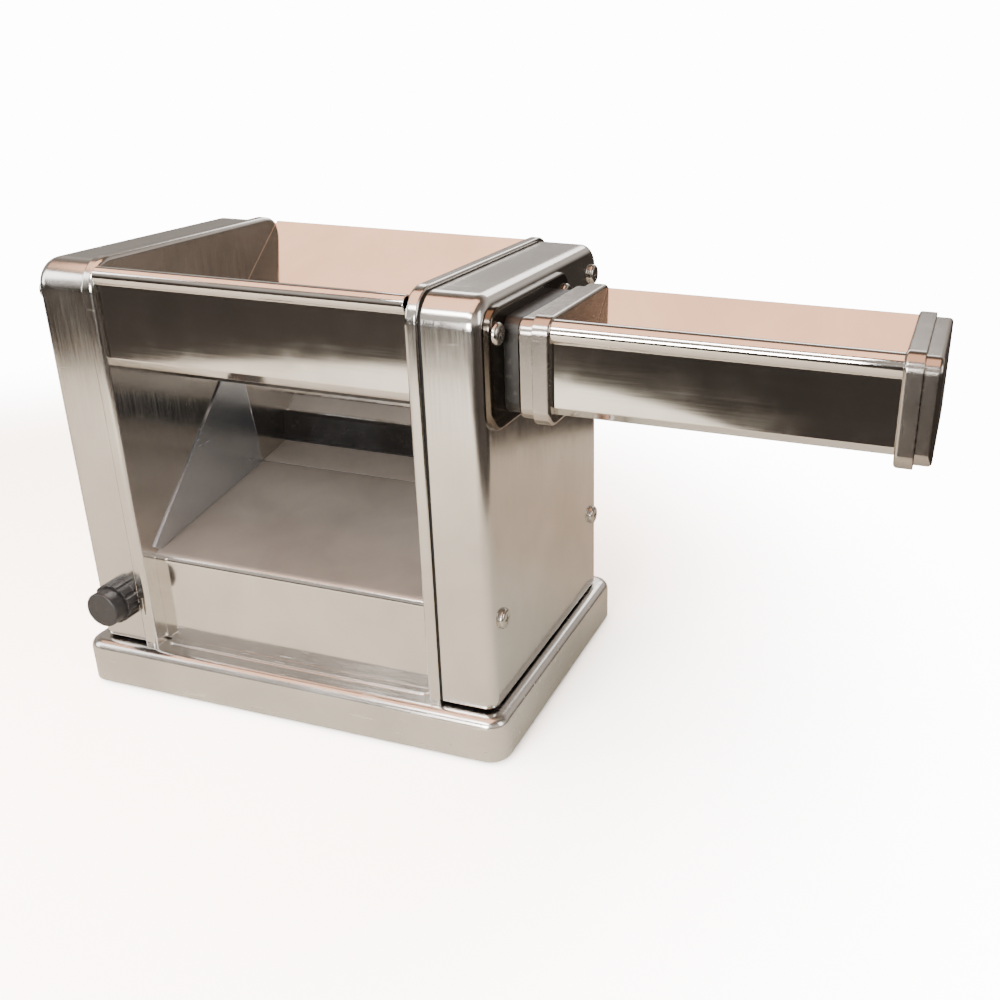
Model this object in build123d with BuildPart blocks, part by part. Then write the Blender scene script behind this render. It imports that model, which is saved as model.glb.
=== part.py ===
from build123d import *
from math import atan2, cos, pi, sin, sqrt, tan
import os

os.makedirs("parts", exist_ok=True)

# Motor-driven tabletop pasta sheeter with a docked cutting attachment.
# Millimetres. X is across the machine, Y is depth (front is -Y), Z is up from the table.

# ---- side frames, covers and base
half_in = 110.0        # inner face of each side frame
web_t = 5.0            # thickness of the frame web
rim_w = 8.8            # width of the polished rim around each frame
rim_h = 8.0            # how far the rim reaches inward in its own plane
frame_y = 104.5        # half depth of a side frame
frame_top = 316.0
frame_r = 20.0         # radius of the upper corners
gasket_t = 1.5
cover_y = 102.5        # half depth of a side cover
cover_top = 313.3
cover_bottom = 38.3
cover_r = 18.5
cover_x0 = half_in + rim_w + gasket_t
cover_x1 = 158.0
cover_edge_r = 8.0
sheet_t = 1.5
base_x = 168.0
base_y = 113.7
base_z0 = 4.0
base_top = 35.8
base_corner_r = 14.0
base_edge_r = 7.0
emboss_h = 1.2

# ---- screw positions on the side covers, as (y, z)
screw_upper_front = (-90.7, 292.0)
screw_upper_rear = (89.2, 292.0)
screw_lower_front = (-84.0, 99.0)
screw_lower_rear = (89.0, 101.0)
screw_points = [screw_upper_front, screw_upper_rear, screw_lower_front, screw_lower_rear]
dock_extra_points = [(21.5, 292.0), (21.5, 246.0)]

# ---- lamination rollers
roller_r = 20.0
roller_len = 108.0
nip_gap = 0.5
roller_y = roller_r + nip_gap / 2
roller_z = 240.5
journal_r = 8.0
run = 0.05             # radial running clearance
gap_travel = 4.2       # how far the rear roller backs away
fit = 0.07

# ---- thickness adjuster
cam_y = 68.0
cam_turn = 1.5 * pi
cam_rise = gap_travel / cam_turn
ear_back = 50.0
cam_reach = cam_y - ear_back - 0.06
cam_shaft_r = 6.0
knob_r = 24.0
knob_zero = 45         # degrees from +Y towards +Z where the pointer rests
dial_r = 33.0
dial_flat_y = 94.0     # the dial is cut straight where the cover's edge starts to round

# ---- gear train, all external spur gears
train_m = 1.5
z_drive = 32
z_access = 20
z_idler = 56
z_small = 18
z_big = 60
z_pinion = 16
roller_m = 2.25
z_roller = 18
cutter_m = 1.75
z_cutter = 12
pressure = 25 * pi / 180


def below(start, dy, distance, sign):
    """Centre of the next gear at a given centre distance and sideways step."""
    return (start[0] + dy, start[1] + sign * sqrt(distance ** 2 - dy ** 2))


drive_c = (-roller_y, roller_z)
access_c = below(drive_c, -31.75, train_m * (z_drive + z_access) / 2, 1)
idler_c = below(drive_c, 16.13, train_m * (z_drive + z_idler) / 2, -1)
compound_c = below(idler_c, 29.12, train_m * (z_idler + z_small) / 2, -1)
motor_c = below(compound_c, -27.0, train_m * (z_big + z_pinion) / 2, -1)

# ---- cutting attachment
cut_a = access_c
cut_b = (access_c[0] + cutter_m * z_cutter, access_c[1])
cut_disc_r = 12.4
cut_root_r = 8.2
cut_zone = 12.2
cut_disc_w = 11.6
cut_journal_r = 5.0
dock_x0 = cover_x1
dock_x1 = 163.0
block_x1 = 174.0
lcap_x1 = 184.5
lplate_x1 = 195.5
rplate_x0 = 394.5
rcap_x0 = 405.0
rcap_x1 = 415.0

# ---- middle of the overall outline, from knob to end cap and from button to base
knob_end = 184.0
button_end = 123.0
centre_x = (rcap_x1 - knob_end) / 2
centre_y = (base_y - button_end) / 2


def side(x):
    """Plane facing +X whose own axes are world Y and Z."""
    return Plane(origin=(x, 0, 0), x_dir=(0, 1, 0), z_dir=(1, 0, 0))


def front(y):
    """Plane facing -Y whose own axes are world X and Z."""
    return Plane(origin=(0, y, 0), x_dir=(1, 0, 0), z_dir=(0, -1, 0))


def direction(a, b):
    return atan2(b[1] - a[1], b[0] - a[0])


def next_phase(phase, teeth, angle, next_teeth):
    """Angle of tooth 0 on the next gear so that it meshes with this one."""
    u = (angle - phase) * teeth / (2 * pi)
    return angle + pi - (0.5 - u) * 2 * pi / next_teeth


def gear_points(module, teeth, phase, thin):
    """Involute gear outline, flanks and tips as one closed list of points."""
    r = module * teeth / 2
    rb = r * cos(pressure)
    ra = r + module
    rf = r - 1.25 * module
    half = (pi * module / 2 - thin) / (2 * r)
    inv0 = tan(pressure) - pressure
    flank = [(rf, half + inv0)] if rf < rb else []
    for i in range(6):
        rho = max(rb, rf) + (ra - max(rb, rf)) * i / 5
        a = atan2(sqrt(max(rho ** 2 - rb ** 2, 0)), rb)
        flank.append((rho, half + inv0 - (tan(a) - a)))
    points = []
    for k in range(teeth):
        mid = phase + 2 * pi * k / teeth
        rising = [(rho, mid - h) for rho, h in flank]
        falling = [(rho, mid + h) for rho, h in reversed(flank)]
        for rho, a in rising + falling:
            points.append((rho * cos(a), rho * sin(a)))
    return points


def gear_face(module, teeth, phase, centre, thin=0.15):
    """Gear outline centred on a (y, z) point."""
    outline = [(centre[0] + p, centre[1] + q) for p, q in gear_points(module, teeth, phase, thin)]
    with BuildSketch(Plane.XY, mode=Mode.PRIVATE) as face:
        with BuildLine():
            Polyline(*outline, close=True)
        make_face()
    return face.sketch


def panel_outline(half_y, z0, z1, radius):
    """Upright plate outline with square lower and rounded upper corners."""
    with BuildSketch(Plane.XY, mode=Mode.PRIVATE) as face:
        with BuildLine():
            Polyline((-half_y, z1 - radius), (-half_y, z0), (half_y, z0), (half_y, z1 - radius))
            RadiusArc((half_y, z1 - radius), (half_y - radius, z1), -radius)
            Line((half_y - radius, z1), (-half_y + radius, z1))
            RadiusArc((-half_y + radius, z1), (-half_y, z1 - radius), -radius)
        make_face()
    return face.sketch


def export(builder, name):
    """Write one node, moved so that the whole object stands centred on the origin."""
    placed = builder.part.moved(Location((-centre_x, -centre_y, 0)))
    placed.label = name
    export_step(placed, f"parts/{name}.step")


# ==== base ====
def pan_block(inset, bottom):
    """Rounded block whose walls and top lie the inset inside the pan's outer faces."""
    with BuildPart() as block:
        with BuildSketch(Plane.XY.offset(bottom)):
            RectangleRounded(2 * (base_x - inset), 2 * (base_y - inset), base_corner_r - inset)
        extrude(amount=base_top - inset - bottom)
        fillet(block.faces().sort_by(Axis.Z)[-1].edges(), radius=base_edge_r - inset)
    return block.part


with BuildPart() as base_pan:
    add(pan_block(0, base_z0))
    add(pan_block(sheet_t, base_z0 - 1), mode=Mode.SUBTRACT)
    with BuildSketch(Plane.XY.offset(base_top - 0.4)):
        RectangleRounded(214, 196, 6)
    extrude(amount=emboss_h + 0.4, taper=30)
    with BuildSketch(Plane.XY.offset(base_top - sheet_t)):
        with GridLocations(150, 60, 2, 2):
            Circle(5)
    extrude(amount=sheet_t + emboss_h, mode=Mode.SUBTRACT)
export(base_pan, "base_pan")

with BuildPart() as bottom_plate:
    with BuildSketch(Plane.XY.offset(5.0)):
        RectangleRounded(2 * (base_x - sheet_t), 2 * (base_y - sheet_t), base_corner_r - sheet_t)
        with GridLocations(22, 0, 9, 1):
            SlotCenterToCenter(60, 6, rotation=90, mode=Mode.SUBTRACT)
    extrude(amount=2.0)
export(bottom_plate, "bottom_plate")

with BuildPart() as rubber_feet:
    with BuildSketch(Plane.XY):
        with GridLocations(280, 176, 2, 2):
            Circle(13)
    extrude(amount=5.0, taper=-4)
    fillet(rubber_feet.faces().filter_by(Axis.Z).group_by(Axis.Z)[0].edges(), radius=1.2)
    with BuildSketch(Plane.XY):
        with GridLocations(280, 176, 2, 2):
            Circle(4)
    extrude(amount=2.5, mode=Mode.SUBTRACT)
export(rubber_feet, "rubber_feet")


# ==== side frames ====
def frame_body():
    with BuildPart() as body:
        with BuildSketch(side(half_in)):
            add(panel_outline(frame_y, base_top, frame_top, frame_r))
        extrude(amount=rim_w)
        for x, radius in ((half_in, 3.0), (half_in + rim_w, 1.2)):
            rims = body.edges().filter_by_position(Axis.Z, base_top + 0.1, frame_top + 1)
            fillet(rims.filter_by_position(Axis.X, x - 0.1, x + 0.1), radius=radius)
        with BuildSketch(side(half_in + web_t)):
            add(panel_outline(frame_y - rim_h, base_top + rim_h, frame_top - rim_h, frame_r - rim_h))
        extrude(amount=rim_w, mode=Mode.SUBTRACT)
        with BuildSketch(side(half_in)):
            with Locations(drive_c):
                Circle(13)
            with Locations((cam_y, roller_z)):
                Circle(10)
            with Locations((26.4, roller_z)):
                Rectangle(40.2, 28 + 2 * fit)
        extrude(amount=web_t, mode=Mode.SUBTRACT)
    return body.part


with BuildPart() as left_frame:
    add(mirror(frame_body(), about=Plane.YZ))
    with BuildSketch(front(-frame_y)):
        with Locations((-half_in - rim_w / 2, 68)):
            SlotCenterToCenter(13, 1.6, rotation=90)
    extrude(amount=-3, mode=Mode.SUBTRACT)
export(left_frame, "left_frame")

with BuildPart() as right_frame:
    add(frame_body())
    with BuildSketch(side(half_in)):
        with Locations(access_c):
            Circle(10)
        with Locations(motor_c):
            Circle(12)
    extrude(amount=web_t, mode=Mode.SUBTRACT)
export(right_frame, "right_frame")


# ==== side covers and their gaskets ====
def cover_body():
    with BuildPart() as body:
        with BuildSketch(side(cover_x0)):
            add(panel_outline(cover_y, cover_bottom, cover_top, cover_r))
        extrude(amount=cover_x1 - cover_x0)
        outer = body.faces().sort_by(Axis.X)[-1].edges()
        outer = outer.filter_by_position(Axis.Z, cover_bottom + 0.1, cover_top + 1)
        fillet(outer, radius=cover_edge_r)
        low = body.faces().sort_by(Axis.Z)[0]
        inner = body.faces().sort_by(Axis.X)[0]
        offset(amount=-sheet_t, openings=[low, inner])
        with BuildSketch(side(cover_x0)):
            with Locations(*screw_points):
                Circle(3.2)
        extrude(amount=60, mode=Mode.SUBTRACT)
    return body.part


with BuildPart() as right_cover:
    add(cover_body())
    with BuildSketch(side(cover_x0)):
        with Locations(access_c):
            Circle(12)
        with Locations(*dock_extra_points):
            Circle(3.2)
    extrude(amount=60, mode=Mode.SUBTRACT)
export(right_cover, "right_cover")

button_x = -135.0
button_z = 71.0
with BuildPart() as left_cover:
    add(mirror(cover_body(), about=Plane.YZ))
    with BuildSketch(side(-cover_x0)):
        with Locations((cam_y, roller_z)):
            Circle(cam_shaft_r + 1)
    extrude(amount=-60, mode=Mode.SUBTRACT)
    with BuildSketch(front(-cover_y + 5)):
        with Locations((button_x, button_z)):
            Circle(9)
    extrude(amount=10, mode=Mode.SUBTRACT)
export(left_cover, "left_cover")


def gasket_body():
    with BuildPart() as body:
        with BuildSketch(side(half_in + rim_w)):
            add(panel_outline(cover_y - 0.5, cover_bottom, cover_top - 0.5, cover_r - 0.5))
        extrude(amount=gasket_t)
        with BuildSketch(side(half_in + rim_w)):
            add(panel_outline(cover_y - 5.5, cover_bottom + 5, cover_top - 5.5, cover_r - 5.5))
        extrude(amount=gasket_t, mode=Mode.SUBTRACT)
    return body.part


with BuildPart() as right_gasket:
    add(gasket_body())
export(right_gasket, "right_gasket")

with BuildPart() as left_gasket:
    add(mirror(gasket_body(), about=Plane.YZ))
export(left_gasket, "left_gasket")


# ==== fasteners and structure ====
def screw_body(x, point, out):
    """Pan-head cross-recess screw whose head seats at x and points along out (+1 or -1)."""
    with BuildPart() as body:
        with BuildSketch(side(x)):
            with Locations(point):
                Circle(7)
        extrude(amount=3.2 * out)
        fillet(body.faces().sort_by(Axis.X)[-1 if out > 0 else 0].edges(), radius=2.4)
        with BuildSketch(side(x)):
            with Locations(point):
                Circle(3)
        extrude(amount=-12 * out)
        with BuildSketch(side(x + 3.2 * out)):
            with Locations(point):
                Rectangle(6.5, 1.4)
                Rectangle(1.4, 6.5)
        extrude(amount=-1.8 * out, mode=Mode.SUBTRACT)
    return body.part


with BuildPart() as cover_screws:
    for spot in [screw_upper_rear, screw_lower_front, screw_lower_rear]:
        add(screw_body(cover_x1, spot, 1))
    for spot in [screw_upper_front] + dock_extra_points:
        add(screw_body(dock_x1, spot, 1))
    for spot in screw_points:
        add(screw_body(-cover_x1, spot, -1))
export(cover_screws, "cover_screws")

pillar_len = cover_x1 - sheet_t - half_in - web_t
with BuildPart() as cover_pillars:
    for sign in (1, -1):
        with BuildSketch(side(sign * (half_in + web_t))):
            with Locations(*screw_points):
                Circle(5.5)
        extrude(amount=sign * (pillar_len - 1.5))
        with BuildSketch(side(sign * (cover_x1 - sheet_t - 1.5))):
            with Locations(*screw_points):
                Circle(4)
        extrude(amount=sign * 1.5)
        with BuildSketch(side(sign * (cover_x1 - sheet_t))):
            with Locations(*screw_points):
                Circle(3)
        extrude(amount=-14 * sign, mode=Mode.SUBTRACT)
export(cover_pillars, "cover_pillars")

with BuildPart() as tie_rods:
    with BuildSketch(side(-half_in)):
        with Locations(*screw_points):
            Circle(4.5)
    extrude(amount=2 * half_in)
export(tie_rods, "tie_rods")

# ==== hopper ====
panel_roll = (-97.0, 306.0)
with BuildPart() as front_hopper_panel:
    with BuildSketch(side(-half_in)):
        with Locations(panel_roll):
            Circle(6)
        with BuildLine():
            Polyline((-100.5, 303), (-100.5, 252.5), (-96.5, 246.3), (-95.5, 247),
                     (-99.3, 252.9), (-99.3, 303), close=True)
        make_face()
        with BuildLine():
            Polyline((-93, 303.2), (-35.0, 255.4), (-34.2, 256.3), (-92, 304.5), close=True)
        make_face()
        with Locations(panel_roll):
            Circle(4.8, mode=Mode.SUBTRACT)
    extrude(amount=2 * half_in)
export(front_hopper_panel, "front_hopper_panel")

with BuildPart() as rear_hopper_sheet:
    with BuildSketch(side(-half_in)):
        with BuildLine():
            Polyline((36.5, 257.5), (98.6, 309.8), (98.9, 309.3), (98.9, 288), (100.1, 288),
                     (100.1, 311), (98.9, 311.6), (35.7, 258.5), close=True)
        make_face()
    extrude(amount=2 * half_in)
export(rear_hopper_sheet, "rear_hopper_sheet")

# ==== rear panel, motor casing and chute cheeks ====
with BuildPart() as rear_panel:
    with BuildSketch(front(98.9)):
        with Locations((0, 168)):
            Rectangle(2 * half_in, 262)
        with Locations((-45, 74)):
            Circle(7, mode=Mode.SUBTRACT)
        with Locations((40, 74)):
            with GridLocations(0, 9, 1, 6):
                SlotOverall(90, 4, mode=Mode.SUBTRACT)
    extrude(amount=1.2)
export(rear_panel, "rear_panel")

slope_a = (-91.2, 105.1)
slope_b = (76.2, 133.8)
seam_y = 42.8


def on_slope(y):
    return slope_a[1] + (y - slope_a[0]) * (slope_b[1] - slope_a[1]) / (slope_b[0] - slope_a[0])


with BuildPart() as lower_casing:
    with BuildSketch(side(-half_in)):
        with BuildLine():
            FilletPolyline((-91.2, base_top + emboss_h), slope_a, (seam_y, on_slope(seam_y)), radius=6)
            offset(amount=1.2, side=Side.RIGHT)
        make_face()
    extrude(amount=2 * half_in)
export(lower_casing, "lower_casing")

with BuildPart() as rear_tray:
    with BuildSketch(side(-half_in)):
        with BuildLine():
            FilletPolyline((seam_y + 0.6, on_slope(seam_y + 0.6)), (80.8, on_slope(80.8)), (85.4, 159), (96.2, 168.9),
                           radius=1.5)
            offset(amount=1.2, side=Side.RIGHT)
        make_face()
    extrude(amount=2 * half_in)
export(rear_tray, "rear_tray")

with BuildPart() as rear_apron:
    with BuildSketch(side(-half_in)):
        with BuildLine():
            FilletPolyline((76.2, on_slope(76.2) + 0.1), (79.4, on_slope(79.4) + 0.1), (84.4, 157.8), (80.7, 157.8),
                           close=True, radius=1.2)
        make_face()
    extrude(amount=2 * half_in)
export(rear_apron, "rear_apron")


def cheek_body():
    with BuildPart() as body:
        with BuildSketch(side(half_in - 1.2)):
            with BuildLine():
                Polyline((-85, on_slope(-85) + 0.05), (-90.5, 110.9), (10, 212), (29.7, 212), (33, 191),
                         (seam_y - 0.4, on_slope(seam_y - 0.4) + 0.05), close=True)
            make_face()
        extrude(amount=1.2)
    return body.part


with BuildPart() as cheek_right:
    add(cheek_body())
export(cheek_right, "cheek_right")

with BuildPart() as cheek_left:
    add(mirror(cheek_body(), about=Plane.YZ))
export(cheek_left, "cheek_left")

# ==== drive motor ====
motor_r = 32.0
with BuildPart() as motor_body:
    with BuildSketch(side(-70)):
        with Locations(motor_c):
            Circle(motor_r)
    extrude(amount=150)
    fillet(motor_body.edges().sort_by(Axis.X)[0], radius=4)
    with BuildSketch(side(80)):
        with Locations(motor_c):
            RectangleRounded(62, 62, 6)
    extrude(amount=half_in - 80)
    with BuildSketch(side(half_in)):
        with Locations(motor_c):
            Circle(11.5)
    extrude(amount=web_t + 1)
    with BuildSketch(side(60)):
        with Locations(motor_c):
            Circle(5 + run)
    extrude(amount=60, mode=Mode.SUBTRACT)
    with BuildSketch(Plane.XY.offset(base_top + emboss_h)):
        with Locations((0, motor_c[0])):
            Rectangle(90, 40)
    extrude(amount=14)
export(motor_body, "motor_body")

with BuildPart() as motor_pinion:
    motor_phase = next_phase(0, z_big, direction(compound_c, motor_c), z_pinion)
    with BuildSketch(side(134)):
        add(gear_face(train_m, z_pinion, motor_phase, motor_c))
    extrude(amount=10)
    with BuildSketch(side(62)):
        with Locations(motor_c):
            Circle(5)
    extrude(amount=84)
export(motor_pinion, "motor_pinion")

# ==== gear train in the right housing ====
drive_phase = direction(drive_c, idler_c)
idler_phase = next_phase(drive_phase, z_drive, direction(drive_c, idler_c), z_idler)
access_phase = next_phase(drive_phase, z_drive, direction(drive_c, access_c), z_access)
small_phase = next_phase(idler_phase, z_idler, direction(idler_c, compound_c), z_small)

with BuildPart() as front_drive_gear:
    with BuildSketch(side(122)):
        add(gear_face(train_m, z_drive, drive_phase, drive_c))
        with Locations(drive_c):
            Circle(journal_r, mode=Mode.SUBTRACT)
            with PolarLocations(15.2, 6):
                Circle(3.6, mode=Mode.SUBTRACT)
    extrude(amount=10)
export(front_drive_gear, "front_drive_gear")

with BuildPart() as idler_gear:
    with BuildSketch(side(122)):
        add(gear_face(train_m, z_idler, idler_phase, idler_c))
        with Locations(idler_c):
            Circle(5 + run, mode=Mode.SUBTRACT)
            with PolarLocations(25, 6):
                Circle(9, mode=Mode.SUBTRACT)
    extrude(amount=10)
export(idler_gear, "idler_gear")

with BuildPart() as compound_gear:
    with BuildSketch(side(122)):
        add(gear_face(train_m, z_small, small_phase, compound_c))
    extrude(amount=12)
    with BuildSketch(side(134)):
        add(gear_face(train_m, z_big, 0, compound_c))
        with Locations(compound_c):
            with PolarLocations(27, 6):
                Circle(8, mode=Mode.SUBTRACT)
    extrude(amount=10)
    with BuildSketch(side(122)):
        with Locations(compound_c):
            Circle(5 + run)
    extrude(amount=22, mode=Mode.SUBTRACT)
export(compound_gear, "compound_gear")

with BuildPart() as idler_pins:
    for centre, end in ((idler_c, 132.3), (compound_c, 144.3)):
        with BuildSketch(side(half_in + web_t)):
            with Locations(centre):
                Circle(9)
        extrude(amount=6.7)
        with BuildSketch(side(half_in + web_t)):
            with Locations(centre):
                Circle(5)
        extrude(amount=end - half_in - web_t)
        with BuildSketch(side(end)):
            with Locations(centre):
                Circle(7.5)
        extrude(amount=1.2)
export(idler_pins, "idler_pins")

with BuildPart() as accessory_gear:
    with BuildSketch(side(122)):
        add(gear_face(train_m, z_access, access_phase, access_c))
        with Locations(access_c):
            Circle(6, mode=Mode.SUBTRACT)
    extrude(amount=10)
export(accessory_gear, "accessory_gear")

with BuildPart() as accessory_shaft:
    with BuildSketch(side(half_in + 0.2)):
        with Locations(access_c):
            Circle(6)
    extrude(amount=block_x1 - half_in - 0.2 - 8)
    with BuildSketch(side(block_x1 - 8)):
        with Locations(access_c):
            Circle(9)
            Rectangle(24, 5, mode=Mode.SUBTRACT)
    extrude(amount=7.5)
    with BuildSketch(side(block_x1 - 9)):
        with Locations(access_c):
            Circle(9)
    extrude(amount=1.2)
export(accessory_shaft, "accessory_shaft")

# ==== bushes ====
bush_w = 9.0
roller_bush_r = 13.0
small_bush_r = 10.0
small_journal_r = 6.0
with BuildPart() as bushes:
    for x in (half_in, -half_in - bush_w):
        for centre, outer_r, inner_r in ((drive_c, roller_bush_r, journal_r),
                                         ((cam_y, roller_z), small_bush_r, small_journal_r)):
            with BuildSketch(side(x)):
                with Locations(centre):
                    Circle(outer_r)
                    Circle(inner_r + run, mode=Mode.SUBTRACT)
            extrude(amount=bush_w)
    with BuildSketch(side(half_in)):
        with Locations(access_c):
            Circle(small_bush_r)
            Circle(small_journal_r + run, mode=Mode.SUBTRACT)
    extrude(amount=bush_w)
export(bushes, "bushes")

# ==== lamination rollers ====
with BuildPart() as front_roller:
    with BuildSketch(side(-roller_len)):
        with Locations(drive_c):
            Circle(roller_r)
    extrude(amount=2 * roller_len)
    chamfer(front_roller.edges(), length=0.6)
    with BuildSketch(side(-147)):
        with Locations(drive_c):
            Circle(journal_r)
    extrude(amount=147 + 134)
export(front_roller, "front_roller")

with BuildPart() as rear_roller:
    with BuildSketch(side(-roller_len)):
        with Locations((roller_y, roller_z)):
            Circle(roller_r)
    extrude(amount=2 * roller_len)
    chamfer(rear_roller.edges(), length=0.6)
    with BuildSketch(side(-147)):
        with Locations((roller_y, roller_z)):
            Circle(journal_r)
    extrude(amount=147 + 121)
export(rear_roller, "rear_roller")

with BuildPart() as front_roller_gear:
    with BuildSketch(side(-146)):
        add(gear_face(roller_m, z_roller, 0, drive_c, 0.2))
        with Locations(drive_c):
            Circle(journal_r, mode=Mode.SUBTRACT)
    extrude(amount=12)
export(front_roller_gear, "front_roller_gear")

with BuildPart() as rear_roller_gear:
    rear_phase = next_phase(0, z_roller, 0, z_roller)
    with BuildSketch(side(-146)):
        add(gear_face(roller_m, z_roller, rear_phase, (roller_y, roller_z), 0.2))
        with Locations((roller_y, roller_z)):
            Circle(journal_r, mode=Mode.SUBTRACT)
    extrude(amount=12)
export(rear_roller_gear, "rear_roller_gear")


# ==== rear roller carriage ====
def slider_body():
    with BuildPart() as body:
        with BuildSketch(side(half_in + 0.2)):
            with Locations((24.15, roller_z)):
                Rectangle(33.7, 28)
        extrude(amount=9)
        with BuildSketch(side(half_in + web_t + 0.2)):
            with Locations((28, roller_z)):
                RectangleRounded(44, 40, 3)
        extrude(amount=4)
        with BuildSketch(side(half_in + 9.2)):
            with Locations((46, roller_z)):
                Rectangle(8, 20)
        extrude(amount=10.3)
        with BuildSketch(side(half_in)):
            with Locations((roller_y, roller_z)):
                Circle(journal_r + run)
        extrude(amount=12, mode=Mode.SUBTRACT)
    return body.part


with BuildPart() as slider_right:
    add(slider_body())
export(slider_right, "slider_right")

with BuildPart() as slider_left:
    add(mirror(slider_body(), about=Plane.YZ))
export(slider_left, "slider_left")


# ==== scrapers under the rollers ====
def scraper_outline(sign):
    """Bar section under the inner lower quarter of a roller; sign -1 front, +1 rear."""
    with BuildSketch(Plane.XY, mode=Mode.PRIVATE) as face:
        with BuildLine():
            Polyline((sign * 22, 216.5), (sign * 4, 216.5), (sign * 3, 219), (sign * 3, 228.5),
                     (sign * 22, 228.5), close=True)
        make_face()
        with Locations((sign * roller_y, roller_z)):
            Circle(roller_r + 0.5, mode=Mode.SUBTRACT)
    return face.sketch


with BuildPart() as front_scraper:
    with BuildSketch(side(-half_in)):
        add(scraper_outline(-1))
    extrude(amount=2 * half_in)
export(front_scraper, "front_scraper")

with BuildPart() as rear_scraper:
    with BuildSketch(side(-half_in + 1.5)):
        add(scraper_outline(1))
    extrude(amount=2 * half_in - 3)
    for sign in (1, -1):
        with BuildSketch(side(sign * (half_in - 1.5))):
            with Locations((23.5, 221)):
                Rectangle(23, 8)
            with Locations((33, 225)):
                Rectangle(6, 14)
        extrude(amount=sign * 1.4)
        with BuildSketch(side(sign * (half_in - 0.1))):
            with Locations((33, 229.2)):
                Circle(1.8)
        extrude(amount=sign * 0.3)
export(rear_scraper, "rear_scraper")

# ==== thickness adjuster ====
with BuildPart() as cam_shaft:
    with BuildSketch(side(-180)):
        with Locations((cam_y, roller_z)):
            Circle(cam_shaft_r)
    extrude(amount=180 + 131)
export(cam_shaft, "cam_shaft")


def cam_face():
    """Cam whose flat follower moves in proportion to the turn."""
    outline = []
    for i in range(-2, 30):
        a = -pi / 2 + i * pi / 18
        h = cam_reach - cam_rise * (pi - a)
        outline.append((cam_y + h * cos(a) - cam_rise * sin(a), roller_z + h * sin(a) + cam_rise * cos(a)))
    with BuildSketch(Plane.XY, mode=Mode.PRIVATE) as face:
        with BuildLine():
            Spline(*outline)
            Line(outline[-1], outline[0])
        make_face()
    return face.sketch


with BuildPart() as cams:
    for x in (121, -129):
        with BuildSketch(side(x)):
            add(cam_face())
            with Locations((cam_y, roller_z)):
                Circle(cam_shaft_r, mode=Mode.SUBTRACT)
        extrude(amount=8)
export(cams, "cams")

with BuildPart() as thickness_knob:
    with BuildSketch(side(-162)):
        with Locations((cam_y, roller_z)):
            Circle(knob_r)
            with PolarLocations(knob_r + 2.5, 10, start_angle=knob_zero + 18):
                Circle(5, mode=Mode.SUBTRACT)
            Circle(cam_shaft_r, mode=Mode.SUBTRACT)
    extrude(amount=-19)
    with BuildSketch(side(-181)):
        with Locations((cam_y, roller_z)):
            Circle(18)
    extrude(amount=-3)
    fillet(thickness_knob.faces().sort_by(Axis.X)[0].edges(), radius=1.5)
    with BuildSketch(side(-162)):
        with Locations((cam_y, roller_z)):
            with PolarLocations(knob_r - 0.5, 1, start_angle=knob_zero):
                Triangle(a=5, b=5, c=5, rotation=-90)
    extrude(amount=-4)
export(thickness_knob, "thickness_knob")

with BuildPart() as dial_plate:
    with BuildSketch(side(-cover_x1)):
        with Locations((cam_y, roller_z)):
            Circle(dial_r)
            Circle(cam_shaft_r + 1, mode=Mode.SUBTRACT)
        with Locations((dial_flat_y, roller_z)):
            Rectangle(dial_r, 2 * dial_r, align=(Align.MIN, Align.CENTER), mode=Mode.SUBTRACT)
    extrude(amount=-1.2)
export(dial_plate, "dial_plate")

# ==== power button ====
with BuildPart() as button_collar:
    with BuildSketch(front(-cover_y)):
        with Locations((button_x, button_z)):
            Circle(15)
            with PolarLocations(16.2, 12):
                Circle(2.2, mode=Mode.SUBTRACT)
            Circle(13 + run, mode=Mode.SUBTRACT)
    extrude(amount=10)
export(button_collar, "button_collar")

with BuildPart() as button_cap:
    with BuildSketch(front(-106.2)):
        with Locations((button_x, button_z)):
            Circle(13)
    extrude(amount=16.8)
    fillet(button_cap.faces().sort_by(Axis.Y)[0].edges(), radius=1.6)
    with BuildSketch(front(-99)):
        with Locations((button_x, button_z)):
            Circle(8)
    extrude(amount=7.2)
export(button_cap, "button_cap")

with BuildPart() as switch_body:
    with BuildSketch(front(-72)):
        with Locations((button_x, button_z)):
            RectangleRounded(26, 26, 3)
    extrude(amount=22.5)
    with BuildSketch(front(-72)):
        with Locations((button_x, button_z)):
            RectangleRounded(26, 26, 3)
            Circle(10.5, mode=Mode.SUBTRACT)
    extrude(amount=cover_y - sheet_t - 72)
export(switch_body, "switch_body")

with BuildPart() as cable_gland:
    with BuildSketch(front(98.9)):
        with Locations((-45, 74)):
            RegularPolygon(radius=11, side_count=6)
    extrude(amount=-6)
    with BuildSketch(front(104.9)):
        with Locations((-45, 74)):
            Circle(8.5)
    extrude(amount=-7)
    fillet(cable_gland.faces().sort_by(Axis.Y)[-1].edges(), radius=3)
    with BuildSketch(front(98.9)):
        with Locations((-45, 74)):
            Circle(7)
    extrude(amount=8)
    with BuildSketch(front(85)):
        with Locations((-45, 74)):
            Circle(3.6)
    extrude(amount=-40, mode=Mode.SUBTRACT)
export(cable_gland, "cable_gland")

# ==== accessory dock ====
dock_y = -34.0
dock_z = 269.0
with BuildPart() as dock_flange:
    with BuildSketch(side(dock_x0)):
        with Locations((dock_y, dock_z)):
            RectangleRounded(128, 76, 13)
        with Locations(access_c):
            Circle(12, mode=Mode.SUBTRACT)
        with Locations(screw_upper_front, *dock_extra_points):
            Circle(3.2, mode=Mode.SUBTRACT)
    extrude(amount=dock_x1 - dock_x0)
    fillet(dock_flange.faces().sort_by(Axis.X)[-1].outer_wire().edges(), radius=2)
export(dock_flange, "dock_flange")

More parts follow.
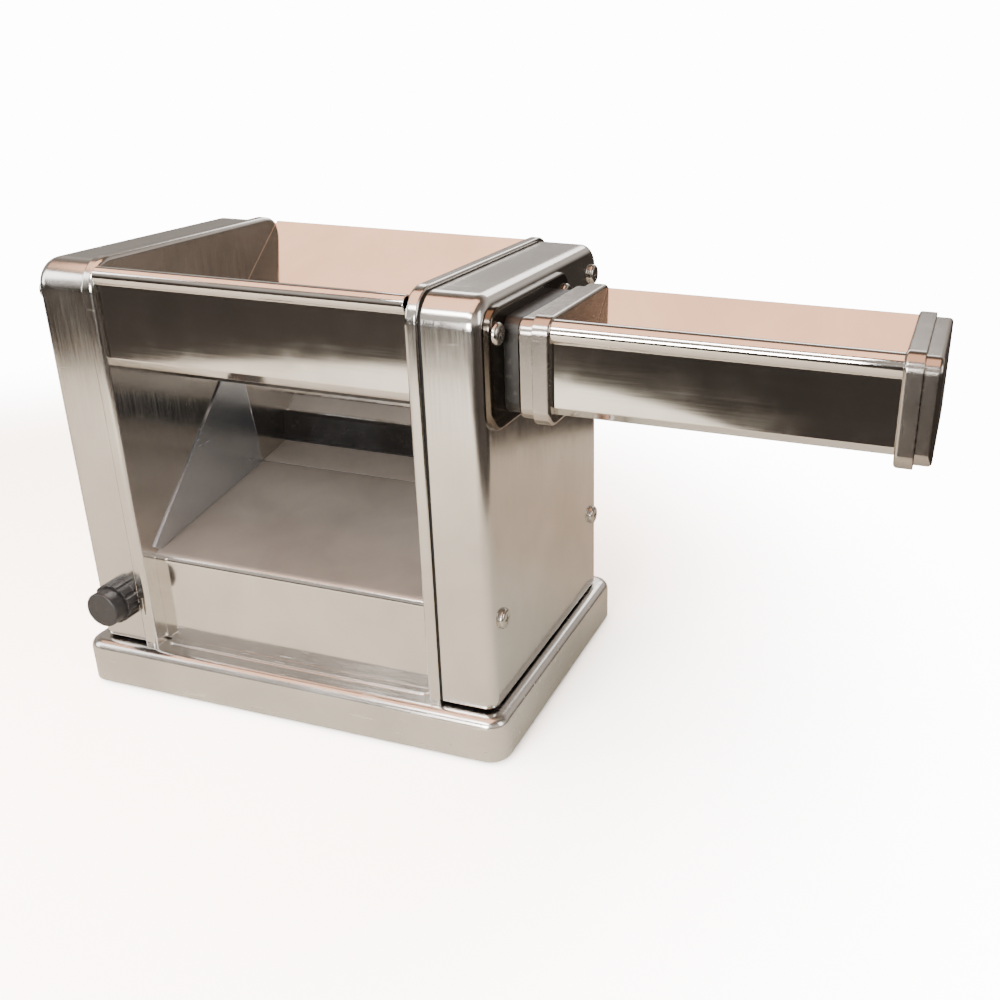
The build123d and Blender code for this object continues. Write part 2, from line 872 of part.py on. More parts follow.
pin_points = ((-70.0, 269.0), (2.0, 269.0))
with BuildPart() as dock_block:
    with BuildSketch(side(dock_x1)):
        with Locations((dock_y, dock_z)):
            RectangleRounded(93, 60, 9)
        with Locations(access_c):
            Circle(6 + run, mode=Mode.SUBTRACT)
    extrude(amount=block_x1 - dock_x1)
    with BuildSketch(side(block_x1 - 9.5)):
        with Locations(access_c):
            Circle(10)
    extrude(amount=10, mode=Mode.SUBTRACT)
    with BuildSketch(side(block_x1)):
        with Locations(*pin_points):
            Circle(4)
    extrude(amount=7)
export(dock_block, "dock_block")


# ==== cutting attachment: side plates and caps ====
def cutter_plate(x0, x1, half_w, half_h, radius, edge, end):
    """Rounded end plate; end picks which face is eased, 1 for +X and -1 for -X."""
    with BuildPart() as body:
        with BuildSketch(side(x0)):
            with Locations((dock_y, 269.5)):
                RectangleRounded(2 * half_w, 2 * half_h, radius)
        extrude(amount=x1 - x0)
        fillet(body.faces().sort_by(Axis.X)[-1 if end > 0 else 0].edges(), radius=edge)
    return body.part


with BuildPart() as cutter_left_cap:
    add(cutter_plate(block_x1 + 0.05, lcap_x1, 53, 31, 9, 2.5, -1))
    with BuildSketch(side(block_x1)):
        with Locations(*pin_points):
            Circle(4 + run)
        with Locations(cut_a):
            Circle(8)
    extrude(amount=12, mode=Mode.SUBTRACT)
export(cutter_left_cap, "cutter_left_cap")

with BuildPart() as cutter_left_plate:
    add(cutter_plate(lcap_x1, lplate_x1, 55.5, 33.3, 10, 2, 1))
    with BuildSketch(side(lcap_x1)):
        with Locations(cut_a, cut_b):
            Circle(cut_journal_r + run)
    extrude(amount=12, mode=Mode.SUBTRACT)
export(cutter_left_plate, "cutter_left_plate")

with BuildPart() as cutter_right_plate:
    add(cutter_plate(rplate_x0, rcap_x0, 55.5, 33.3, 10, 2, -1))
    with BuildSketch(side(rplate_x0)):
        with Locations(cut_a, cut_b):
            Circle(cut_journal_r + run)
    extrude(amount=12, mode=Mode.SUBTRACT)
export(cutter_right_plate, "cutter_right_plate")

with BuildPart() as cutter_right_cap:
    add(cutter_plate(rcap_x0, rcap_x1, 53, 31, 9, 2.5, 1))
    with BuildSketch(side(rcap_x0)):
        with Locations((cut_a[0] + cutter_m * z_cutter / 2, cut_a[1])):
            SlotOverall(52, 28)
    extrude(amount=8, mode=Mode.SUBTRACT)
export(cutter_right_cap, "cutter_right_cap")

# ==== cutting attachment: guard, feed sheet and rods ====
guard_roll = (-80.7, 294.0)
inner_len = rplate_x0 - lplate_x1
with BuildPart() as cutter_guard:
    with BuildSketch(side(lplate_x1)):
        with Locations(guard_roll):
            Circle(7.3)
        with BuildLine():
            Polyline((-85, 291), (-85, 249), (-81.4, 243.6), (-80.4, 244.3), (-83.8, 249.4),
                     (-83.8, 291), close=True)
        make_face()
        with BuildLine():
            Polyline((-77, 288.5), (-62, 278), (-61.2, 279), (-75.5, 289.5), close=True)
        make_face()
        with Locations(guard_roll):
            Circle(6.1, mode=Mode.SUBTRACT)
    extrude(amount=inner_len)
export(cutter_guard, "cutter_guard")

with BuildPart() as cutter_rear_sheet:
    with BuildSketch(side(lplate_x1)):
        with BuildLine():
            Polyline((-22, 275), (-4.5, 279.3), (15.6, 298), (16.4, 297.5), (16.4, 244), (17.6, 244),
                     (17.6, 298.6), (16, 299.8), (-5, 280.4), (-22, 276.2), close=True)
        make_face()
    extrude(amount=inner_len)
export(cutter_rear_sheet, "cutter_rear_sheet")

with BuildPart() as cutter_rods:
    with BuildSketch(side(lplate_x1)):
        with Locations((-77, 258), (9, 256)):
            Circle(3.5)
    extrude(amount=inner_len)
export(cutter_rods, "cutter_rods")


# ==== cutting attachment: rollers, gears and combs ====
def cutter_roller(centre, first):
    with BuildPart() as body:
        with BuildSketch(side(lplate_x1 + 0.5)):
            with Locations(centre):
                Circle(cut_root_r)
        extrude(amount=inner_len - 1)
        for k in range(first, 16, 2):
            x = lplate_x1 + 1.9 + k * cut_zone + (cut_zone - cut_disc_w) / 2
            with BuildSketch(side(x)):
                with Locations(centre):
                    Circle(cut_disc_r)
            extrude(amount=cut_disc_w)
    return body.part


with BuildPart() as cutter_roller_a:
    add(cutter_roller(cut_a, 0))
    with BuildSketch(side(lcap_x1 - 2)):
        with Locations(cut_a):
            Circle(cut_journal_r)
    extrude(amount=412.5 - lcap_x1 + 2)
    with BuildSketch(side(block_x1 - 6)):
        with Locations(cut_a):
            Circle(7)
            Rectangle(20, 4.8, mode=Mode.INTERSECT)
    extrude(amount=8)
    with BuildSketch(side(block_x1 + 2)):
        with Locations(cut_a):
            Circle(7)
    extrude(amount=lcap_x1 - block_x1 - 2.5)
export(cutter_roller_a, "cutter_roller_a")

with BuildPart() as cutter_roller_b:
    add(cutter_roller(cut_b, 1))
    with BuildSketch(side(lcap_x1 + 0.5)):
        with Locations(cut_b):
            Circle(cut_journal_r)
    extrude(amount=412.5 - lcap_x1 - 0.5)
export(cutter_roller_b, "cutter_roller_b")

cut_phase_b = next_phase(0, z_cutter, 0, z_cutter)
with BuildPart() as cutter_gear_a:
    with BuildSketch(side(405.5)):
        add(gear_face(cutter_m, z_cutter, 0, cut_a))
        with Locations(cut_a):
            Circle(cut_journal_r, mode=Mode.SUBTRACT)
    extrude(amount=6.5)
export(cutter_gear_a, "cutter_gear_a")

with BuildPart() as cutter_gear_b:
    with BuildSketch(side(405.5)):
        add(gear_face(cutter_m, z_cutter, cut_phase_b, cut_b))
        with Locations(cut_b):
            Circle(cut_journal_r, mode=Mode.SUBTRACT)
    extrude(amount=6.5)
export(cutter_gear_b, "cutter_gear_b")


def comb_body(centre, first, out):
    """Stripper comb; its fingers stand in the grooves of one cutting roller."""
    bar_y = centre[0] + out * 19
    with BuildPart() as body:
        with BuildSketch(side(lplate_x1)):
            with Locations((bar_y, 249)):
                Rectangle(4, 8)
        extrude(amount=inner_len)
        for k in range(first, 16, 2):
            x = lplate_x1 + 1.9 + k * cut_zone + 1.2
            with BuildSketch(side(x)):
                with BuildLine():
                    Polyline((bar_y, 246), (bar_y, 252), (centre[0] + out * 9.5, centre[1] + 2),
                             (centre[0] + out * 1, centre[1] - 9.5), (centre[0] + out * 2, 250), close=True)
                make_face()
                with Locations(centre):
                    Circle(cut_root_r + 0.5, mode=Mode.SUBTRACT)
            extrude(amount=cut_zone - 2.4)
    return body.part


with BuildPart() as comb_front:
    add(comb_body(cut_a, 1, -1))
export(comb_front, "comb_front")

with BuildPart() as comb_rear:
    add(comb_body(cut_b, 0, 1))
export(comb_rear, "comb_rear")
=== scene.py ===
import math
import bpy
from mathutils import Matrix, Vector


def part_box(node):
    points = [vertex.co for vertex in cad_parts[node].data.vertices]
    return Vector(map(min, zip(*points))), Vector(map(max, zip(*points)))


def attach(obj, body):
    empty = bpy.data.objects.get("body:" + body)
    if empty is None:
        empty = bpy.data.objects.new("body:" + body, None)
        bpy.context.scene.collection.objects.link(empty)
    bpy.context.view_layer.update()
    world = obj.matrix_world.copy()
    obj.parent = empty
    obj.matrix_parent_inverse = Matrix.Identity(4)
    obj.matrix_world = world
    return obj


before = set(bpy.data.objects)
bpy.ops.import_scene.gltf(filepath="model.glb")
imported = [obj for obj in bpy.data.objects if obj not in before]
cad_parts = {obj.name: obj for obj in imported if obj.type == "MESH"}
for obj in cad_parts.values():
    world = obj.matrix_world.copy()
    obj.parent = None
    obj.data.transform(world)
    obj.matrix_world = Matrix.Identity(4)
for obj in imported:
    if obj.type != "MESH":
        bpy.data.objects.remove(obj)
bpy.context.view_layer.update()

# Metres, in the row frame. Angles are in degrees.
CAMERA_AT = (0.3091, -0.6579, 0.4567)
CAMERA_YAW = -17.33
CAMERA_PITCH = 23.37
CAMERA_ROLL = -0.96
CAMERA_LENS = 39.53
SENSOR = 36.0
SHIFT_X = -0.130
SHIFT_Y = 0.0018

FLOOR = (0.68, 0.68, 0.60)
FLOOR_AT = (-0.40, -0.05)
FLOOR_R = 0.85
FLOOR_STEPS = 96
FLOOR_FADE = (0.5, 0.99)
FLOOR_GAIN = 4.5
BACKDROP_GAIN = 14.0

# The room in the reflections: (height from -1 below to 1 above, as 0 to 1; colour).
ROOM_STOPS = [
    (0.30, (0.085, 0.070, 0.060)),
    (0.50, (0.060, 0.050, 0.043)),
    (0.54, (0.30, 0.27, 0.245)),
    (0.62, (0.62, 0.56, 0.505)),
    (0.78, (0.48, 0.42, 0.37)),
    (0.90, (0.20, 0.155, 0.125)),
]
ROOM_SCALE = 1.6
ROOM_UNEVEN = (0.65, 1.35)

# Softboxes: name, place, point it faces, width and height, watts, colour.
AIM = (0.0, 0.0, 0.15)
SOFTBOXES = [
    ("ceiling", (-0.65, -0.35, 1.9), (-0.65, -0.34, 0.0), (2.3, 1.7), 34.0, (1.0, 0.54, 0.34)),
    ("key", (-0.30, -1.15, 1.25), AIM, (0.9, 0.28), 16.0, (1.0, 0.98, 0.95)),
    ("window", (-1.7, -0.9, 0.9), AIM, (0.7, 1.2), 14.0, (1.0, 0.99, 0.98)),
    ("right", (1.9, -0.4, 1.0), AIM, (0.6, 1.2), 10.0, (1.0, 0.97, 0.94)),
    ("back", (-0.4, 1.7, 1.2), AIM, (1.4, 0.5), 8.0, (1.0, 1.0, 1.0)),
    ("low", (-0.15, -1.3, 0.40), (-0.1, 0.0, 0.16), (0.6, 0.3), 20.0, (1.0, 0.96, 0.92)),
]

DIAL_ZERO = 45.0
DIAL_STEP = 30.0
DIAL_NUMBERS = 10
NUMBER_RADIUS = 0.0297
NUMBER_HEIGHT = 0.0058
NUMBER_DEPTH = 0.0003
NUMBER_LIFT = 0.0001


# ==== shader graph helpers ====
class Graph:
    """A shader graph in the making: each call adds one node and returns one of its outputs."""

    def __init__(self, tree, keep=False):
        self.tree = tree
        if not keep:
            tree.nodes.clear()

    def add(self, kind, inputs=None, output=0, **settings):
        node = self.tree.nodes.new("ShaderNode" + kind)
        for key, value in settings.items():
            setattr(node, key, value)
        for key, value in (inputs or {}).items():
            if isinstance(value, bpy.types.NodeSocket):
                self.tree.links.new(value, node.inputs[key])
            else:
                node.inputs[key].default_value = value
        return node.outputs[output] if node.outputs else node

    def here(self):
        """Place in the row frame, in metres, because every object's origin is the frame's."""
        return self.add("TexCoord", output=3)

    def stretched(self, place, scale, turn=(0, 0, 0)):
        turn = tuple(math.radians(a) for a in turn)
        return self.add("Mapping", {"Vector": place, "Scale": scale, "Rotation": turn})

    def noise(self, place, scale=1.0, detail=2.0, rough=0.5, warp=0.0):
        given = {"Vector": place, "Scale": scale, "Detail": detail, "Roughness": rough, "Distortion": warp}
        return self.add("TexNoise", given)

    def remap(self, value, low, high, out_low=0.0, out_high=1.0):
        given = {"Value": value, "From Min": low, "From Max": high, "To Min": out_low, "To Max": out_high}
        return self.add("MapRange", given)

    def mix(self, factor, first, second):
        return self.add("Mix", {0: factor, 6: first, 7: second}, output=2, data_type="RGBA")

    def math(self, operation, *values):
        return self.add("Math", dict(enumerate(values)), operation=operation)

    def bump(self, height, distance, strength=1.0, normal=None):
        given = {"Height": height, "Distance": distance, "Strength": strength}
        if normal is not None:
            given["Normal"] = normal
        return self.add("Bump", given)

    def edge(self, radius):
        """(rounded normal, mask that is 1 on sharp edges)."""
        rounded = self.add("Bevel", {"Radius": radius}, samples=EDGE_SAMPLES)
        plain = self.add("NewGeometry", output=1)
        dot = self.add("VectorMath", {0: rounded, 1: plain}, output=1, operation="DOT_PRODUCT")
        return rounded, self.remap(dot, *EDGE_BEND)

    def surface(self, inputs):
        shader = self.add("BsdfPrincipled", inputs)
        self.add("OutputMaterial", {"Surface": shader})


def rgb(color, value=1.0):
    return (color[0] * value, color[1] * value, color[2] * value, 1.0)


# ==== materials ====
# The useful middle of a noise field, as its low and high value.
NOISE_SPAN = (0.3, 0.7)
EDGE_SAMPLES = 8
EDGE_BEND = (0.96, 0.80)
EDGE_ROUGH = 0.10
STEEL_EDGE = 0.0007
TURNED_EDGE = 0.0005
PLASTIC_EDGE = 0.0006
SCRATCH_SCALE = (34.0, 420.0, 300.0)
SCRATCH_TURN = (25.0, 14.0, 33.0)
SCRATCH_CUT = (0.70, 0.74)
SCRATCH_SHINE = 0.35
SCRATCH_ROUGH = 0.12
SCRATCH_DEPTH = 4e-6
SMUDGE_ROUGH = 0.04
SWELL_SCALE = 5.0
SATIN_FACING = (0.55, 0.85)
SATIN_ROUGH = (0.30, 0.38)
SATIN_METAL = 0.45
RING_DEPTH = 3e-6
PORE_DEPTH = 1e-5
GREASE = (0.20, 0.13, 0.06)
DUST = (0.42, 0.38, 0.33)


def steel(
    name, color, rough, grain, grain_depth=2e-6, cloud=0.10, scratch=0.5, wave=0.0, wear=0.5, spread=1.0
):
    """Stainless sheet: grain is how many brushed lines a metre has across each axis."""
    material = bpy.data.materials.new(name)
    material.use_nodes = True
    g = Graph(material.node_tree)
    here = g.here()
    lines = g.noise(g.stretched(here, grain), 1.0, 3.0, 0.6)
    clouds = g.noise(here, 11.0, 4.0, 0.6, 0.4)
    smudges = g.noise(here, 30.0, 3.0, 0.55, 0.2)
    marks = g.noise(g.stretched(here, SCRATCH_SCALE, SCRATCH_TURN), 1.0, 1.0)
    scratches = g.remap(marks, *SCRATCH_CUT)
    rounded, edges = g.edge(STEEL_EDGE)
    tint = g.remap(clouds, *NOISE_SPAN)
    base = g.mix(tint, rgb(color, 1.0 - cloud), rgb(color, 1.0 + cloud))
    base = g.mix(g.math("MULTIPLY", scratches, SCRATCH_SHINE * scratch), base, rgb(color, 1.3))
    base = g.mix(g.math("MULTIPLY", edges, wear), base, rgb(color, 1.28))
    smooth, coarse = rough * (1 - 0.25 * spread), rough * (1 + 0.3 * spread)
    roughness = g.remap(lines, *NOISE_SPAN, smooth, coarse)
    greasy = g.remap(smudges, 0.50, 0.75, 0.0, SMUDGE_ROUGH)
    roughness = g.math("ADD", roughness, greasy)
    roughness = g.math("ADD", roughness, g.math("MULTIPLY", scratches, SCRATCH_ROUGH * scratch))
    roughness = g.math("ADD", roughness, g.math("MULTIPLY", edges, EDGE_ROUGH * wear))
    normal = g.bump(lines, grain_depth, normal=rounded)
    normal = g.bump(scratches, -SCRATCH_DEPTH * scratch, normal=normal)
    if wave:
        swell = g.noise(here, SWELL_SCALE, 0.0)
        normal = g.bump(swell, wave, normal=normal)
    g.surface({"Base Color": base, "Metallic": 1.0, "Roughness": roughness, "Normal": normal})
    return material


def satin_top(name, color, satin_and_reflection_color):
    """Polished sheet whose upward faces are worn to a soft satin by dough and cleaning, and painted a
    darker grey-brown that stands in for their reflection of the dark chute interior.
    """
    material = steel(name, color, 0.10, (14.0, 700.0, 700.0), 5e-7, scratch=0.4, wave=1.2e-4)
    tree = material.node_tree
    shader = next(n for n in tree.nodes if n.type == "BSDF_PRINCIPLED")
    polished_color = shader.inputs["Base Color"].links[0].from_socket
    polished_rough = shader.inputs["Roughness"].links[0].from_socket
    g = Graph(tree, keep=True)
    here = g.here()
    facing = g.add("NewGeometry", output=1)
    # Upward faces: satin roughness, plus a darker grey-brown colour that is a painted reflection of the
    # dark interior.
    up = g.remap(g.add("SeparateXYZ", {0: facing}, output=2), *SATIN_FACING)
    stains = g.remap(g.noise(here, 24.0, 4.0, 0.6, 0.6), 0.35, 0.65)
    satin = g.mix(stains, rgb(satin_and_reflection_color, 0.94), rgb(satin_and_reflection_color, 1.05))
    tree.links.new(g.mix(up, polished_color, satin), shader.inputs["Base Color"])
    rough = g.remap(stains, 0.0, 1.0, *SATIN_ROUGH)
    level = g.add("Mix", {0: up, 2: polished_rough, 3: rough}, output=0)
    tree.links.new(level, shader.inputs["Roughness"])
    tree.links.new(g.remap(up, 0.0, 1.0, 1.0, SATIN_METAL), shader.inputs["Metallic"])
    return material


def turned(name, color, rough, across=0, pitch=2600.0, grease=0.0):
    """Turned or ground metal with fine rings round one axis, and a film of grease in places."""
    material = bpy.data.materials.new(name)
    material.use_nodes = True
    g = Graph(material.node_tree)
    here = g.here()
    scale = [40.0, 40.0, 40.0]
    scale[across] = pitch
    rings = g.noise(g.stretched(here, tuple(scale)), 1.0, 2.0)
    clouds = g.noise(here, 30.0, 3.0, 0.6)
    film = g.remap(g.noise(here, 85.0, 3.0, 0.6, 0.8), 0.48, 0.62)
    rounded, edges = g.edge(TURNED_EDGE)
    base = g.mix(g.remap(clouds, *NOISE_SPAN), rgb(color, 0.86), rgb(color, 1.08))
    base = g.mix(g.math("MULTIPLY", film, grease), base, rgb(GREASE))
    base = g.mix(g.math("MULTIPLY", edges, 0.6), base, rgb(color, 1.35))
    roughness = g.remap(rings, *NOISE_SPAN, rough * 0.7, rough * 1.35)
    roughness = g.math("ADD", roughness, g.math("MULTIPLY", film, 0.15 * grease))
    normal = g.bump(rings, RING_DEPTH, normal=rounded)
    g.surface({"Base Color": base, "Metallic": 1.0, "Roughness": roughness, "Normal": normal})
    return material


def plastic(name, color, rough, grain=1500.0, grain_depth=8e-6, worn=0.12, gloss=0.5):
    """Moulded plastic, paint or rubber: fine grain, dusty clouds and edges rubbed lighter."""
    material = bpy.data.materials.new(name)
    material.use_nodes = True
    g = Graph(material.node_tree)
    here = g.here()
    pebble = g.noise(here, grain, 2.0, 0.6)
    clouds = g.noise(here, 60.0, 4.0, 0.65, 0.5)
    dust = g.remap(g.noise(here, 210.0, 3.0, 0.7), 0.56, 0.74, 0.0, 0.45)
    rounded, edges = g.edge(PLASTIC_EDGE)
    pale = tuple(c + worn for c in color)
    base = g.mix(g.remap(clouds, *NOISE_SPAN), rgb(color, 0.75), rgb(color, 1.3))
    base = g.mix(g.math("MULTIPLY", dust, worn), base, rgb(DUST))
    base = g.mix(g.math("MULTIPLY", edges, 0.55), base, rgb(pale))
    roughness = g.remap(clouds, *NOISE_SPAN, rough * 0.82, rough * 1.2)
    normal = g.bump(pebble, grain_depth, normal=rounded)
    given = {"Base Color": base, "Roughness": roughness, "Normal": normal, "Specular IOR Level": gloss}
    g.surface(given)
    return material


def sintered(name, color):
    """Porous bronze soaked with oil."""
    material = bpy.data.materials.new(name)
    material.use_nodes = True
    g = Graph(material.node_tree)
    here = g.here()
    pores = g.remap(g.noise(here, 1900.0, 3.0, 0.7), 0.35, 0.6)
    oil = g.remap(g.noise(here, 55.0, 3.0), 0.45, 0.6)
    base = g.mix(pores, rgb(color, 0.45), rgb(color))
    base = g.mix(g.math("MULTIPLY", oil, 0.5), base, rgb(color, 0.35))
    roughness = g.remap(oil, 0.0, 1.0, 0.42, 0.2)
    normal = g.bump(pores, PORE_DEPTH)
    g.surface({"Base Color": base, "Metallic": 1.0, "Roughness": roughness, "Normal": normal})
    return material


def printed(name, color):
    """Filled paint on numbers and marks, a little worn."""
    material = bpy.data.materials.new(name)
    material.use_nodes = True
    g = Graph(material.node_tree)
    here = g.here()
    chips = g.remap(g.noise(here, 900.0, 3.0, 0.7), 0.35, 0.55)
    base = g.mix(chips, rgb(color, 0.8), rgb(color, 1.1))
    roughness = g.remap(chips, 0.0, 1.0, 0.6, 0.42)
    g.surface({"Base Color": base, "Roughness": roughness, "Normal": g.bump(chips, 2e-6)})
    return material


WARM = (0.68, 0.66, 0.63)
MIRROR = (0.74, 0.715, 0.68)
BRACKET = (0.40, 0.37, 0.34)
# The blue tint of this cheek steel is a painted reflection of a window.
CHEEK_WINDOW_REFLECTION = (0.72, 0.76, 0.82)
DIAL = (0.70, 0.70, 0.69)
# Painted reflection: grey-brown tones that the upward faces of the chute and the tray show in place of the
# dark interior they mirror.
SLOPE_REFLECTION_TONE = (0.38, 0.335, 0.30)
TRAY_REFLECTION_TONE = (0.50, 0.445, 0.40)
DOCK = (0.10, 0.085, 0.07)
INK = (0.02, 0.02, 0.02)

MATERIALS = {
    "base_steel": lambda n: steel(n, WARM, 0.20, (30.0, 900.0, 900.0), cloud=0.12, scratch=1.0),
    "frame_steel": lambda n: steel(n, WARM, 0.15, (900.0, 900.0, 26.0), wave=2e-5),
    "cover_steel": lambda n: steel(n, WARM, 0.15, (1100.0, 1100.0, 20.0), wave=1.2e-4),
    "panel_steel": lambda n: steel(n, MIRROR, 0.06, (12.0, 700.0, 700.0), 1e-7, scratch=0.0, wave=6e-5),
    "rear_steel": lambda n: steel(n, WARM, 0.24, (30.0, 2000.0, 2000.0), 4e-7, scratch=0.5),
    "bracket_steel": lambda n: steel(n, BRACKET, 0.20, (2200.0, 90.0, 2200.0), 2e-7, 0.10, 0.3),
    "dock_steel": lambda n: steel(n, DOCK, 0.16, (700.0, 30.0, 700.0), wear=0.8),
    "fastener_steel": lambda n: turned(n, (0.60, 0.57, 0.53), 0.24, pitch=1500.0),
    "roller_steel": lambda n: turned(n, (0.72, 0.70, 0.68), 0.12),
    "cutter_steel": lambda n: turned(n, (0.68, 0.66, 0.63), 0.18),
    "gear_steel": lambda n: turned(n, (0.36, 0.35, 0.34), 0.32, grease=0.6),
    "slider_steel": lambda n: turned(n, (0.42, 0.41, 0.40), 0.28, across=1, grease=0.3),
    "dial_aluminium": lambda n: steel(n, DIAL, 0.36, (1500.0, 1500.0, 1500.0), 2e-7, 0.06, 0.2, spread=0.4),
    "bush_bronze": lambda n: sintered(n, (0.72, 0.50, 0.26)),
    "dock_plastic": lambda n: plastic(n, (0.018, 0.017, 0.016), 0.42, worn=0.20),
    "scraper_plastic": lambda n: plastic(n, (0.012, 0.011, 0.011), 0.14, grain_depth=1e-6, worn=0.04),
    "button_plastic": lambda n: plastic(n, (0.014, 0.014, 0.016), 0.38, worn=0.08),
    "knob_plastic": lambda n: plastic(n, (0.016, 0.016, 0.017), 0.36, worn=0.08),
    "motor_paint": lambda n: plastic(n, (0.045, 0.05, 0.055), 0.38, 260.0, 3e-5, 0.10),
    # The black gasket in the gap between each frame rim and its cover is painted shade standing in for the
    # dark gap.
    "gasket_rubber": lambda n: plastic(n, (0.010, 0.010, 0.010), 0.55, worn=0.03, gloss=0.3),
    "foot_rubber": lambda n: plastic(n, (0.018, 0.018, 0.018), 0.72, 900.0, 2e-5, 0.10, 0.3),
}


def dress_nodes():
    """Each CAD node takes the finish of the material slot that the record gives it."""
    made = {}
    # The cheek plates' bluish colour is a painted window reflection.
    cheek = steel("cheek_look", CHEEK_WINDOW_REFLECTION, 0.24, (700.0, 16.0, 700.0), 1e-8, 0.05, 0.0, spread=0.2)
    chute = {
        # The chute and tray get painted grey-brown reflection tones on their upward faces.
        "lower_casing": satin_top("chute_look", MIRROR, SLOPE_REFLECTION_TONE),
        "rear_tray": satin_top("tray_look", MIRROR, TRAY_REFLECTION_TONE),
        "cheek_left": cheek,
        "cheek_right": cheek,
    }
    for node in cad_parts.values():
        if node.name in chute:
            for holder in node.material_slots:
                holder.material = chute[node.name]
            continue
        for holder in node.material_slots:
            slot = holder.material.name.split(".")[0]
            if slot not in made:
                made[slot] = MATERIALS[slot](slot + "_look")
            holder.material = made[slot]


# ==== small pieces ====
def mesh_from_text(text, height, depth):
    """A number as a mesh in its own XY plane, centred on the origin."""
    curve = bpy.data.curves.new("number", "FONT")
    curve.body = text
    curve.size = height
    curve.extrude = depth / 2
    curve.align_x = "CENTER"
    curve.align_y = "CENTER"
    holder = bpy.data.objects.new("number_source", curve)
    bpy.context.scene.collection.objects.link(holder)
    bpy.context.view_layer.update()
    mesh = bpy.data.meshes.new_from_object(holder.evaluated_get(bpy.context.evaluated_depsgraph_get()))
    bpy.data.objects.remove(holder)
    return mesh


def link(name, mesh, material):
    piece = bpy.data.objects.new(name, mesh)
    bpy.context.scene.collection.objects.link(piece)
    piece.data.materials.clear()
    piece.data.materials.append(material)
    return piece


def dial_numbers():
    """Numbers 0 to 9 round the thickness dial, read from the left of the machine."""
    ink = printed("dial_ink", INK)
    low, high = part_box("dial_plate")
    shaft_low, shaft_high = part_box("cam_shaft")
    centre_y = (shaft_low.y + shaft_high.y) / 2
    centre_z = (shaft_low.z + shaft_high.z) / 2
    facing = Matrix(((0, 0, -1), (-1, 0, 0), (0, 1, 0))).to_4x4()
    for i in range(DIAL_NUMBERS):
        angle = math.radians(DIAL_ZERO + i * DIAL_STEP)
        piece = link(f"dial_number_{i}", mesh_from_text(str(i), NUMBER_HEIGHT, NUMBER_DEPTH), ink)
        out_y = NUMBER_RADIUS * math.cos(angle)
        out_z = NUMBER_RADIUS * math.sin(angle)
        at = (low.x - NUMBER_LIFT, centre_y + out_y, centre_z + out_z)
        piece.matrix_world = Matrix.Translation(at) @ facing
        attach(piece, "machine")


# ==== stage ====
def camera():
    data = bpy.data.cameras.new("camera")
    data.sensor_width = SENSOR
    data.lens = CAMERA_LENS
    data.shift_x = SHIFT_X
    data.shift_y = SHIFT_Y
    data.clip_start = 0.01
    data.dof.use_dof = False
    yaw, pitch, roll = (math.radians(a) for a in (CAMERA_YAW, CAMERA_PITCH, CAMERA_ROLL))
    ahead = Vector((math.sin(yaw) * math.cos(pitch), math.cos(yaw) * math.cos(pitch), -math.sin(pitch)))
    level = Vector((math.cos(yaw), -math.sin(yaw), 0.0))
    below = ahead.cross(level)
    right = math.cos(roll) * level + math.sin(roll) * below
    down = math.cos(roll) * below - math.sin(roll) * level
    turn = Matrix((right, -down, -ahead)).transposed().to_4x4()
    holder = bpy.data.objects.new("camera", data)
    bpy.context.scene.collection.objects.link(holder)
    holder.matrix_world = Matrix.Translation(CAMERA_AT) @ turn
    bpy.context.scene.camera = holder


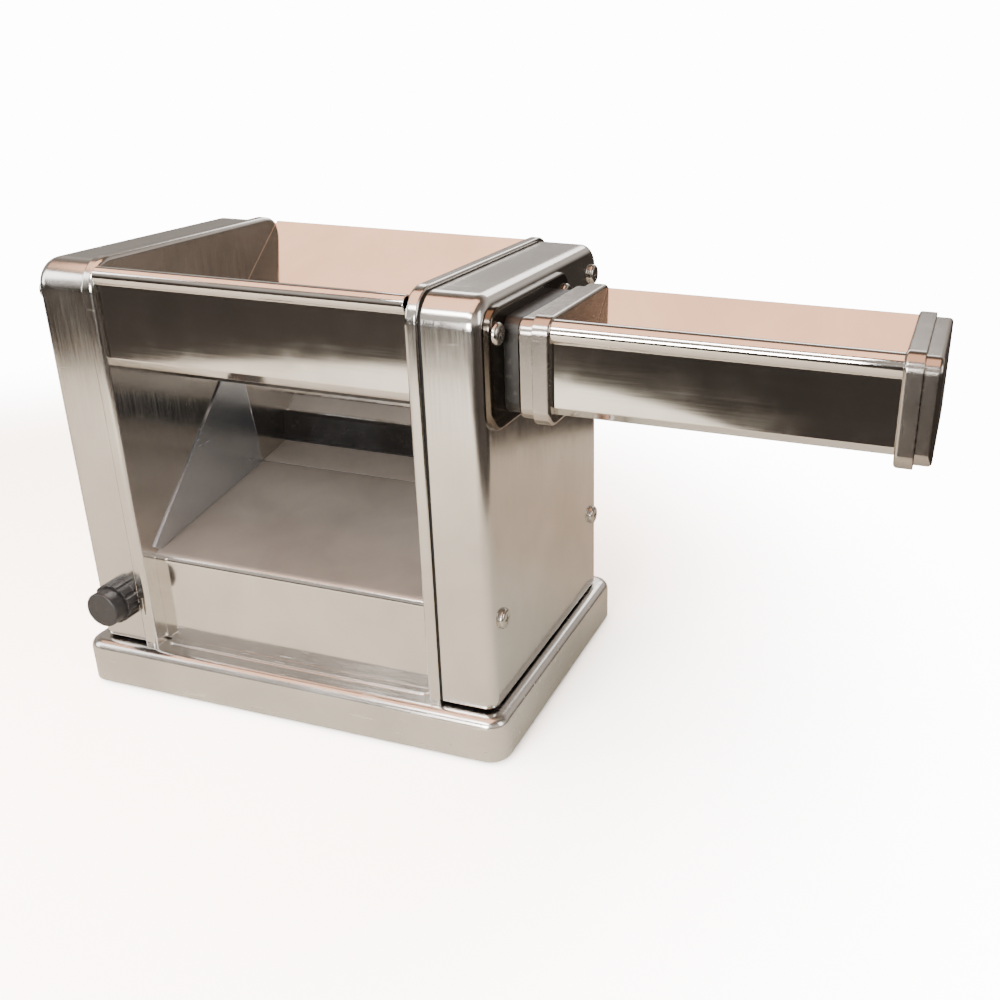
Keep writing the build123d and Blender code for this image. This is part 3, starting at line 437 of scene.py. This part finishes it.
def floor():
    """Plain pale round floor, shown as bright as the white backdrop that it runs into."""
    material = bpy.data.materials.new("floor_look")
    material.use_nodes = True
    g = Graph(material.node_tree)
    here = g.here()
    shade = g.mix(g.noise(here, 4.0, 3.0), rgb(FLOOR, 0.98), rgb(FLOOR, 1.02))
    seen = g.add("LightPath")
    pale = g.add("BsdfDiffuse", {"Color": shade})
    bright = g.add("BsdfDiffuse", {"Color": rgb((1.0, 1.0, 1.0), FLOOR_GAIN)})
    backdrop = g.add("Emission", {"Color": (1.0, 1.0, 1.0, 1.0), "Strength": BACKDROP_GAIN})
    reach = g.add("VectorMath", {0: here, 1: (*FLOOR_AT, 0.0)}, output=1, operation="DISTANCE")
    fade = {"Value": reach, "From Min": FLOOR_FADE[0] * FLOOR_R, "From Max": FLOOR_FADE[1] * FLOOR_R}
    away = g.add("MapRange", fade, interpolation_type="SMOOTHSTEP")
    shown = g.add("MixShader", {0: away, 1: bright, 2: backdrop})
    g.add("OutputMaterial", {"Surface": g.add("MixShader", {0: seen, 1: pale, 2: shown})})
    rim = []
    for i in range(FLOOR_STEPS):
        turn = 2 * math.pi * i / FLOOR_STEPS
        rim.append((FLOOR_AT[0] + FLOOR_R * math.cos(turn), FLOOR_AT[1] + FLOOR_R * math.sin(turn), 0))
    mesh = bpy.data.meshes.new("floor")
    mesh.from_pydata(rim, [], [tuple(range(FLOOR_STEPS))])
    link("floor", mesh, material)


def surroundings():
    """Plain white to the eye; a warm room with a dark horizon and a peach ceiling in the steel."""
    world = bpy.data.worlds.new("room")
    bpy.context.scene.world = world
    world.use_nodes = True
    g = Graph(world.node_tree)
    way = g.add("TexCoord")
    up = g.add("SeparateXYZ", {0: way}, output=2)
    shapes = g.noise(way, ROOM_SCALE, 2.0, 0.45)
    height = g.remap(up, -1.0, 1.0)
    ramp = world.node_tree.nodes.new("ShaderNodeValToRGB")
    world.node_tree.links.new(height, ramp.inputs[0])
    elements = ramp.color_ramp.elements
    while len(elements) < len(ROOM_STOPS):
        elements.new(0.5)
    for element, (place, color) in zip(elements, ROOM_STOPS):
        element.position = place
        element.color = rgb(color)
    uneven = g.remap(shapes, 0.35, 0.65, *ROOM_UNEVEN)
    room = g.add("Background", {"Color": ramp.outputs[0], "Strength": uneven})
    plain = g.add("Background", {"Color": (1.0, 1.0, 1.0, 1.0), "Strength": BACKDROP_GAIN})
    seen = g.add("LightPath")
    both = g.add("MixShader", {0: seen, 1: room, 2: plain})
    g.add("OutputWorld", {"Surface": both})


def softbox(name, at, aim, size, power, color):
    data = bpy.data.lights.new(name, "AREA")
    data.shape = "RECTANGLE"
    data.size, data.size_y = size
    data.energy = power
    data.color = color
    holder = bpy.data.objects.new(name, data)
    bpy.context.scene.collection.objects.link(holder)
    facing = (Vector(aim) - Vector(at)).to_track_quat("-Z", "Y")
    holder.matrix_world = Matrix.Translation(at) @ facing.to_matrix().to_4x4()


def lights():
    for box in SOFTBOXES:
        softbox(*box)


camera()
dress_nodes()
dial_numbers()
floor()
surroundings()
lights()
